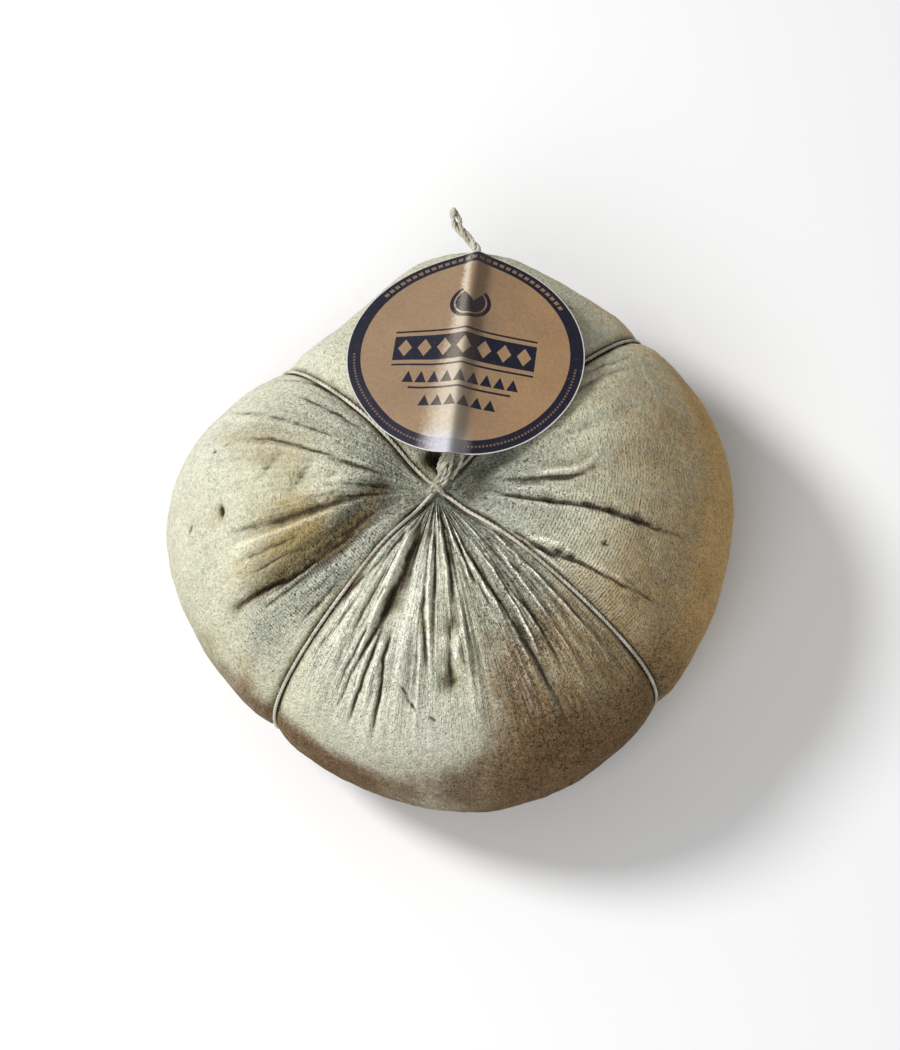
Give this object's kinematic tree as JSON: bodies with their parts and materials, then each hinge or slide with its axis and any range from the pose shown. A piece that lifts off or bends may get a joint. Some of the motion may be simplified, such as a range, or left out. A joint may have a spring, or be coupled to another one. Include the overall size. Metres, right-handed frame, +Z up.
{
  "type": "cheese wheel",
  "caption": "Round cloth-moulded goat cheese with gathered folds, tied with crossed cotton twine, with a hanging loop and a round paper label.",
  "frame": {"origin": "on the flat base that the cheese rests on, below the middle of the body", "axes": "+Z up through the gathered face, +Y towards the rim that the hanging loop points to, +X to the right when the cheese is seen from above with the loop at the top"},
  "size_m": [0.2011, 0.215, 0.1003],
  "materials": {
    "rind": "dry matte natural rind with a woven cloth imprint",
    "twine": "undyed twisted cotton",
    "hanging_twine": "undyed cotton, two strands twisted together",
    "label_paper": "brown kraft card with a dark blue printed ring"
  },
  "bodies": {
    "root": {"cheese": "rind", "tie_twine": "twine", "hanging_loop": "hanging_twine", "paper_label": "label_paper"}
  },
  "joints": []
}
